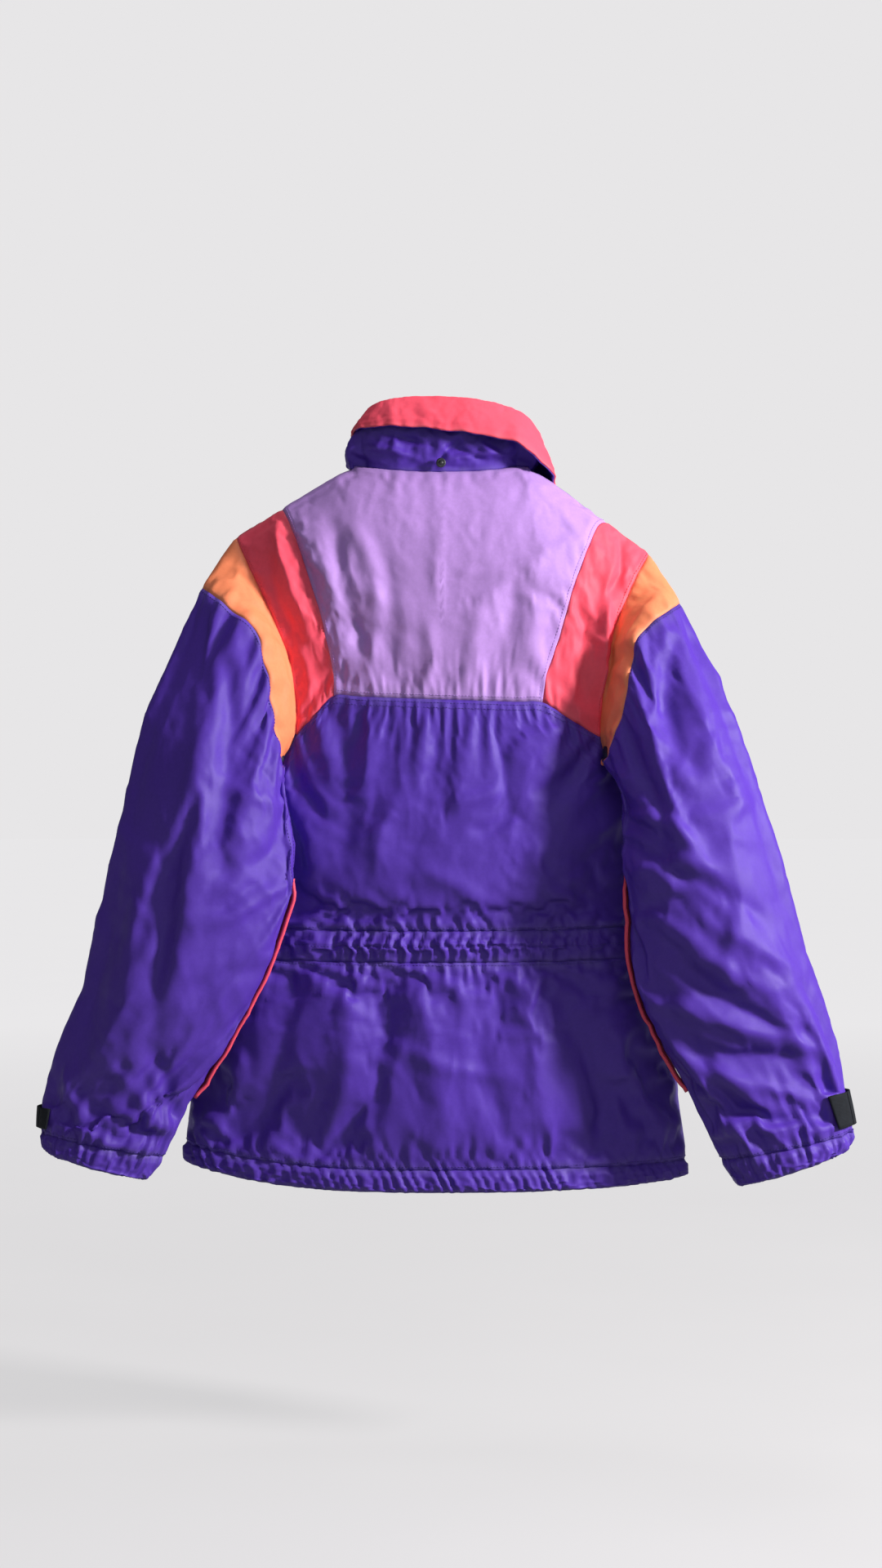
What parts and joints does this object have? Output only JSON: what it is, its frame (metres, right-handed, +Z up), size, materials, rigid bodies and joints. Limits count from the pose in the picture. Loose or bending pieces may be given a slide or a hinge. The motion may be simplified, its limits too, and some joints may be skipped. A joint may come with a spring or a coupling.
{
  "type": "ski jacket",
  "caption": "Padded colour-blocked ski jacket with a stand collar, full sleeves with cuff tabs, an elasticated waist, a front zip under a storm flap and zipped pockets.",
  "frame": {"origin": "where the hanger loop bears on a peg, inside the middle of the back neck seam", "axes": "+Z up, the jacket's back faces -Y and its front +Y, +X is the wearer's right"},
  "size_m": [0.8299, 0.2314, 0.8159],
  "materials": {
    "purple_nylon": "matt woven nylon, dark purple",
    "lilac_nylon": "matt woven nylon, lilac",
    "coral_nylon": "matt woven nylon, coral pink",
    "orange_nylon": "matt woven nylon, orange",
    "wadding": "white polyester wadding",
    "lining": "dark smooth lining",
    "elastic": "white elastic",
    "black_plastic": "black moulded plastic",
    "black_tape": "black woven tape, hook-and-loop",
    "zip_tape": "purple woven zip tape"
  },
  "bodies": {
    "torso": {"back_yoke_shell": "lilac_nylon", "back_coral_left_shell": "coral_nylon", "back_coral_right_shell": "coral_nylon", "back_body_shell": "purple_nylon", "back_waist_casing": "purple_nylon", "waist_elastic": "elastic", "back_skirt_shell": "purple_nylon", "back_hem_band": "purple_nylon", "back_wadding": "wadding", "back_lining": "lining", "front_left_yoke_shell": "lilac_nylon", "front_left_coral_shell": "coral_nylon", "front_left_body_shell": "purple_nylon", "front_left_hem_band": "purple_nylon", "front_left_wadding": "wadding", "front_left_lining": "lining", "pocket_bag_left": "lining", "pocket_zip_left": "zip_tape", "zip_left": "zip_tape", "front_right_yoke_shell": "lilac_nylon", "front_right_coral_shell": "coral_nylon", "front_right_body_shell": "purple_nylon", "front_right_hem_band": "purple_nylon", "front_right_wadding": "wadding", "front_right_lining": "lining", "pocket_bag_right": "lining", "pocket_zip_right": "zip_tape", "zip_right": "zip_tape", "collar_stand": "purple_nylon", "collar_facing": "coral_nylon", "hood_snap": "black_plastic", "hanger_loop": "black_tape", "flap_snap_stud_1": "black_plastic", "flap_snap_stud_2": "black_plastic", "flap_snap_stud_3": "black_plastic"},
    "sleeve_left": {"sleeve_left_cap": "orange_nylon", "sleeve_left_shell": "purple_nylon", "sleeve_left_cuff_band": "purple_nylon", "sleeve_left_wadding": "wadding", "sleeve_left_lining": "lining", "sleeve_left_piping": "coral_nylon", "cuff_loop_patch_left": "black_tape"},
    "cuff_tab_left": {"cuff_tab_left": "black_tape"},
    "pocket_slider_left": {"pocket_slider_left": "black_plastic"},
    "sleeve_right": {"sleeve_right_cap": "orange_nylon", "sleeve_right_shell": "purple_nylon", "sleeve_right_cuff_band": "purple_nylon", "sleeve_right_wadding": "wadding", "sleeve_right_lining": "lining", "sleeve_right_piping": "coral_nylon", "cuff_loop_patch_right": "black_tape"},
    "cuff_tab_right": {"cuff_tab_right": "black_tape"},
    "pocket_slider_right": {"pocket_slider_right": "black_plastic"},
    "zip_slider": {"zip_slider": "black_plastic"},
    "zip_pull": {"zip_pull": "black_plastic"},
    "storm_flap": {"storm_flap": "purple_nylon", "flap_snap_cap_1": "black_plastic", "flap_snap_cap_2": "black_plastic", "flap_snap_cap_3": "black_plastic"}
  },
  "joints": [
    {"name": "left_sleeve_lift", "type": "hinge", "parent": "torso", "child": "sleeve_left", "pos_m": [-0.214, 0.009, -0.064], "axis": [0, 1, 0], "range_deg": [0, 50]},
    {"name": "right_sleeve_lift", "type": "hinge", "parent": "torso", "child": "sleeve_right", "pos_m": [0.217, 0.009, -0.081], "axis": [0, -1, 0], "range_deg": [0, 50]},
    {"name": "left_cuff_tab_peel", "type": "hinge", "parent": "sleeve_left", "child": "cuff_tab_left", "pos_m": [-0.40276, -0.08475, -0.65552], "axis": [0.0984, -0.1109, 0.989], "range_deg": [0, 110]},
    {"name": "right_cuff_tab_peel", "type": "hinge", "parent": "sleeve_right", "child": "cuff_tab_right", "pos_m": [0.41089, -0.08482, -0.64629], "axis": [0.1986, 0.072, -0.9774], "range_deg": [0, 110]},
    {"name": "front_zip_slide", "type": "slide", "parent": "torso", "child": "zip_slider", "axis": [0, 0, 1], "range_m": [-0.62, 0]},
    {"name": "zip_pull_swing", "type": "hinge", "parent": "zip_slider", "child": "zip_pull", "pos_m": [0, 0.0937, -0.094], "axis": [1, 0, 0], "range_deg": [0, 165]},
    {"name": "storm_flap_open", "type": "hinge", "parent": "torso", "child": "storm_flap", "pos_m": [-0.042, 0.092, -0.42], "axis": [0, 0, 1], "range_deg": [0, 150]},
    {"name": "left_pocket_zip_slide", "type": "slide", "parent": "torso", "child": "pocket_slider_left", "axis": [-0.3045, -0.0432, -0.9515], "range_m": [0, 0.108]},
    {"name": "right_pocket_zip_slide", "type": "slide", "parent": "torso", "child": "pocket_slider_right", "axis": [0.3044, -0.0509, -0.9512], "range_m": [0, 0.108]}
  ]
}
